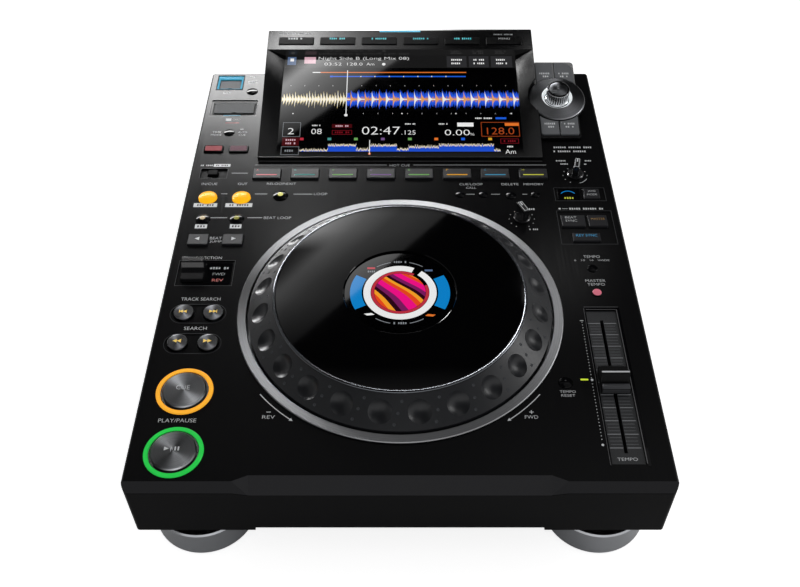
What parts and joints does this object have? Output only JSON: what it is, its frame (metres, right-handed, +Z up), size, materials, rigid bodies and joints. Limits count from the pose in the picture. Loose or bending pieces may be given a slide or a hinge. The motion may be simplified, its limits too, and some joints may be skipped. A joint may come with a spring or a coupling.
{
  "type": "tabletop dj cd player",
  "caption": "Tabletop DJ deck: jog wheel with round display, tilted screen in a raised housing, cue and play buttons, hot cue keys, tempo slider, rotary selector, rear sockets, round feet.",
  "frame": {"origin": "middle of the whole footprint, on the table", "axes": "+Y from the front wall to the rear sockets, +X to the right, +Z up"},
  "size_m": [0.329, 0.453, 0.118],
  "materials": {
    "shell": "satin black moulding",
    "housing": "semi-gloss black moulding",
    "steel_plate": "black painted steel",
    "foot_silver": "satin silver",
    "foot_rubber": "matte black",
    "cover_glass": "dark gloss",
    "screen": "display module",
    "socket_plastic": "black",
    "jog_black": "gloss black",
    "jog_plate": "polished black",
    "hub_plastic": "natural acetal",
    "frame_steel": "plated steel",
    "bezel_metal": "brushed dark anodised",
    "round_display": "gloss black",
    "ring_lit": "translucent, lit amber round cue and green round play",
    "button_metal": "radial brushed",
    "slider_scale": "matte black",
    "slider_cap": "matte black",
    "knob_black": "semi-gloss black",
    "key_black": "gloss black",
    "key_rubber": "soft-touch black",
    "loop_amber": "translucent, lit orange",
    "selector_metal": "turned, dark anodised",
    "shaft_steel": "ground steel",
    "board_green": "circuit board",
    "screw_zinc": "black zinc",
    "slot_plastic": "dark plastic",
    "lid_grey": "dark grey"
  },
  "bodies": {
    "player": {"cabinet": "shell", "base_plate": "steel_plate", "case_screws": "screw_zinc", "foot_cups": "foot_silver", "foot_pads": "foot_rubber", "display_housing": "housing", "display_glass": "cover_glass", "display_panel": "screen", "rear_cover": "housing", "rear_sockets": "socket_plastic", "mains_inlet": "socket_plastic", "jog_bearing": "frame_steel", "jog_display": "round_display", "jog_bezel": "bezel_metal", "slider_plate": "slider_scale", "media_slots": "slot_plastic", "selector_pedestal": "housing", "selector_ring": "selector_metal", "control_board": "board_green", "main_board": "board_green", "power_supply": "board_green", "light_rings": "ring_lit", "socket_panel": "housing"},
    "jog_wheel": {"jog_ring": "jog_black", "jog_top_plate": "jog_plate", "jog_hub": "hub_plastic"},
    "play_button": {"play_button": "button_metal"},
    "cue_button": {"cue_button": "button_metal"},
    "loop_in_button": {"loop_in_button": "loop_amber"},
    "loop_out_button": {"loop_out_button": "loop_amber"},
    "reloop_button": {"reloop_button": "key_rubber"},
    "beat_loop_buttons": {"beat_loop_buttons": "key_rubber"},
    "beat_jump_back_key": {"beat_jump_back_key": "key_black"},
    "beat_jump_forward_key": {"beat_jump_forward_key": "key_black"},
    "track_back_button": {"track_back_button": "button_metal"},
    "track_forward_button": {"track_forward_button": "button_metal"},
    "search_back_button": {"search_back_button": "button_metal"},
    "search_forward_button": {"search_forward_button": "button_metal"},
    "hot_cue_keys_1_2": {"hot_cue_keys_1_2": "key_black"},
    "hot_cue_keys_3_4": {"hot_cue_keys_3_4": "key_black"},
    "hot_cue_keys_5_6": {"hot_cue_keys_5_6": "key_black"},
    "hot_cue_keys_7_8": {"hot_cue_keys_7_8": "key_black"},
    "quantize_keys": {"quantize_keys": "key_rubber"},
    "memory_buttons": {"memory_buttons": "key_rubber"},
    "media_buttons": {"media_buttons": "key_rubber"},
    "sync_keys": {"sync_keys": "key_black"},
    "tempo_buttons": {"tempo_buttons": "key_rubber"},
    "header_keys_left": {"header_keys_left": "key_black"},
    "header_keys_right": {"header_keys_right": "key_black"},
    "selector_keys_back": {"selector_keys_back": "key_rubber"},
    "selector_keys_front": {"selector_keys_front": "key_rubber"},
    "power_button": {"power_button": "key_black"},
    "selector_shaft": {"selector_shaft": "shaft_steel"},
    "selector_knob": {"selector_knob": "knob_black"},
    "tempo_slider": {"tempo_slider": "slider_cap"},
    "vinyl_speed_knob": {"vinyl_speed_knob": "knob_black"},
    "jog_adjust_knob": {"jog_adjust_knob": "knob_black"},
    "direction_lever": {"direction_lever": "knob_black"},
    "usb_lid": {"usb_lid": "lid_grey"},
    "card_door": {"card_door": "lid_grey"}
  },
  "joints": [
    {"name": "jog_wheel_hinge", "type": "hinge", "parent": "player", "child": "jog_wheel", "pos_m": [0, -0.0865, 0.083], "axis": [0, 0, 1], "continuous": true},
    {"name": "play_button_slide", "type": "slide", "parent": "player", "child": "play_button", "axis": [0, 0, -1], "range_m": [0, 0.001], "stiffness_N_per_m": 600, "springref_m": -0.001},
    {"name": "cue_button_slide", "type": "slide", "parent": "player", "child": "cue_button", "axis": [0, 0, -1], "range_m": [0, 0.001], "stiffness_N_per_m": 600, "springref_m": -0.001},
    {"name": "loop_in_button_slide", "type": "slide", "parent": "player", "child": "loop_in_button", "axis": [0, 0, -1], "range_m": [0, 0.001], "stiffness_N_per_m": 600, "springref_m": -0.001},
    {"name": "loop_out_button_slide", "type": "slide", "parent": "player", "child": "loop_out_button", "axis": [0, 0, -1], "range_m": [0, 0.001], "stiffness_N_per_m": 600, "springref_m": -0.001},
    {"name": "reloop_button_slide", "type": "slide", "parent": "player", "child": "reloop_button", "axis": [0, 0, -1], "range_m": [0, 0.001], "stiffness_N_per_m": 600, "springref_m": -0.001},
    {"name": "beat_loop_buttons_slide", "type": "slide", "parent": "player", "child": "beat_loop_buttons", "axis": [0, 0, -1], "range_m": [0, 0.001], "stiffness_N_per_m": 600, "springref_m": -0.001},
    {"name": "beat_jump_back_key_slide", "type": "slide", "parent": "player", "child": "beat_jump_back_key", "axis": [0, 0, -1], "range_m": [0, 0.001], "stiffness_N_per_m": 600, "springref_m": -0.001},
    {"name": "beat_jump_forward_key_slide", "type": "slide", "parent": "player", "child": "beat_jump_forward_key", "axis": [0, 0, -1], "range_m": [0, 0.001], "stiffness_N_per_m": 600, "springref_m": -0.001},
    {"name": "track_back_button_slide", "type": "slide", "parent": "player", "child": "track_back_button", "axis": [0, 0, -1], "range_m": [0, 0.001], "stiffness_N_per_m": 600, "springref_m": -0.001},
    {"name": "track_forward_button_slide", "type": "slide", "parent": "player", "child": "track_forward_button", "axis": [0, 0, -1], "range_m": [0, 0.001], "stiffness_N_per_m": 600, "springref_m": -0.001},
    {"name": "search_back_button_slide", "type": "slide", "parent": "player", "child": "search_back_button", "axis": [0, 0, -1], "range_m": [0, 0.001], "stiffness_N_per_m": 600, "springref_m": -0.001},
    {"name": "search_forward_button_slide", "type": "slide", "parent": "player", "child": "search_forward_button", "axis": [0, 0, -1], "range_m": [0, 0.001], "stiffness_N_per_m": 600, "springref_m": -0.001},
    {"name": "hot_cue_keys_1_2_slide", "type": "slide", "parent": "player", "child": "hot_cue_keys_1_2", "axis": [0, 0, -1], "range_m": [0, 0.001], "stiffness_N_per_m": 600, "springref_m": -0.001},
    {"name": "hot_cue_keys_3_4_slide", "type": "slide", "parent": "player", "child": "hot_cue_keys_3_4", "axis": [0, 0, -1], "range_m": [0, 0.001], "stiffness_N_per_m": 600, "springref_m": -0.001},
    {"name": "hot_cue_keys_5_6_slide", "type": "slide", "parent": "player", "child": "hot_cue_keys_5_6", "axis": [0, 0, -1], "range_m": [0, 0.001], "stiffness_N_per_m": 600, "springref_m": -0.001},
    {"name": "hot_cue_keys_7_8_slide", "type": "slide", "parent": "player", "child": "hot_cue_keys_7_8", "axis": [0, 0, -1], "range_m": [0, 0.001], "stiffness_N_per_m": 600, "springref_m": -0.001},
    {"name": "quantize_keys_slide", "type": "slide", "parent": "player", "child": "quantize_keys", "axis": [0, 0, -1], "range_m": [0, 0.001], "stiffness_N_per_m": 600, "springref_m": -0.001},
    {"name": "memory_buttons_slide", "type": "slide", "parent": "player", "child": "memory_buttons", "axis": [0, 0, -1], "range_m": [0, 0.001], "stiffness_N_per_m": 600, "springref_m": -0.001},
    {"name": "media_buttons_slide", "type": "slide", "parent": "player", "child": "media_buttons", "axis": [0, 0, -1], "range_m": [0, 0.001], "stiffness_N_per_m": 600, "springref_m": -0.001},
    {"name": "sync_keys_slide", "type": "slide", "parent": "player", "child": "sync_keys", "axis": [0, 0, -1], "range_m": [0, 0.001], "stiffness_N_per_m": 600, "springref_m": -0.001},
    {"name": "tempo_buttons_slide", "type": "slide", "parent": "player", "child": "tempo_buttons", "axis": [0, 0, -1], "range_m": [0, 0.001], "stiffness_N_per_m": 600, "springref_m": -0.001},
    {"name": "header_keys_left_slide", "type": "slide", "parent": "player", "child": "header_keys_left", "axis": [0, 0.1713, -0.9852], "range_m": [0, 0.0008], "stiffness_N_per_m": 600, "springref_m": -0.001},
    {"name": "header_keys_right_slide", "type": "slide", "parent": "player", "child": "header_keys_right", "axis": [0, 0.1713, -0.9852], "range_m": [0, 0.0008], "stiffness_N_per_m": 600, "springref_m": -0.001},
    {"name": "selector_keys_back_slide", "type": "slide", "parent": "player", "child": "selector_keys_back", "axis": [0, 0.1908, -0.9816], "range_m": [0, 0.0008], "stiffness_N_per_m": 600, "springref_m": -0.001},
    {"name": "selector_keys_front_slide", "type": "slide", "parent": "player", "child": "selector_keys_front", "axis": [0, 0.1908, -0.9816], "range_m": [0, 0.0008], "stiffness_N_per_m": 600, "springref_m": -0.001},
    {"name": "power_button_slide", "type": "slide", "parent": "player", "child": "power_button", "axis": [0, -1, 0], "range_m": [0, 0.0025], "stiffness_N_per_m": 600, "springref_m": -0.001},
    {"name": "selector_shaft_slide", "type": "slide", "parent": "player", "child": "selector_shaft", "axis": [0, 0.1908, -0.9816], "range_m": [0, 0.0008], "stiffness_N_per_m": 600, "springref_m": -0.001},
    {"name": "selector_knob_hinge", "type": "hinge", "parent": "selector_shaft", "child": "selector_knob", "pos_m": [0.13, 0.137, 0.095], "axis": [0, -0.1908, 0.9816], "continuous": true},
    {"name": "tempo_slider_slide", "type": "slide", "parent": "player", "child": "tempo_slider", "axis": [0, -1, 0], "range_m": [-0.05, 0.05]},
    {"name": "vinyl_speed_knob_hinge", "type": "hinge", "parent": "player", "child": "vinyl_speed_knob", "pos_m": [0.137, 0.0545, 0.083], "axis": [0, 0, 1], "range_deg": [-140, 140]},
    {"name": "jog_adjust_knob_hinge", "type": "hinge", "parent": "player", "child": "jog_adjust_knob", "pos_m": [0.091, 0.0043, 0.083], "axis": [0, 0, 1], "range_deg": [-140, 140]},
    {"name": "direction_lever_hinge", "type": "hinge", "parent": "player", "child": "direction_lever", "pos_m": [-0.146, -0.052, 0.0716], "axis": [1, 0, 0], "range_deg": [-8, 8]},
    {"name": "usb_lid_hinge", "type": "hinge", "parent": "player", "child": "usb_lid", "pos_m": [-0.1473, 0.1828, 0.081], "axis": [-1, 0, 0], "range_deg": [0, 100]},
    {"name": "card_door_hinge", "type": "hinge", "parent": "player", "child": "card_door", "pos_m": [-0.1396, 0.1489, 0.0822], "axis": [-1, 0, 0], "range_deg": [0, 100]}
  ]
}
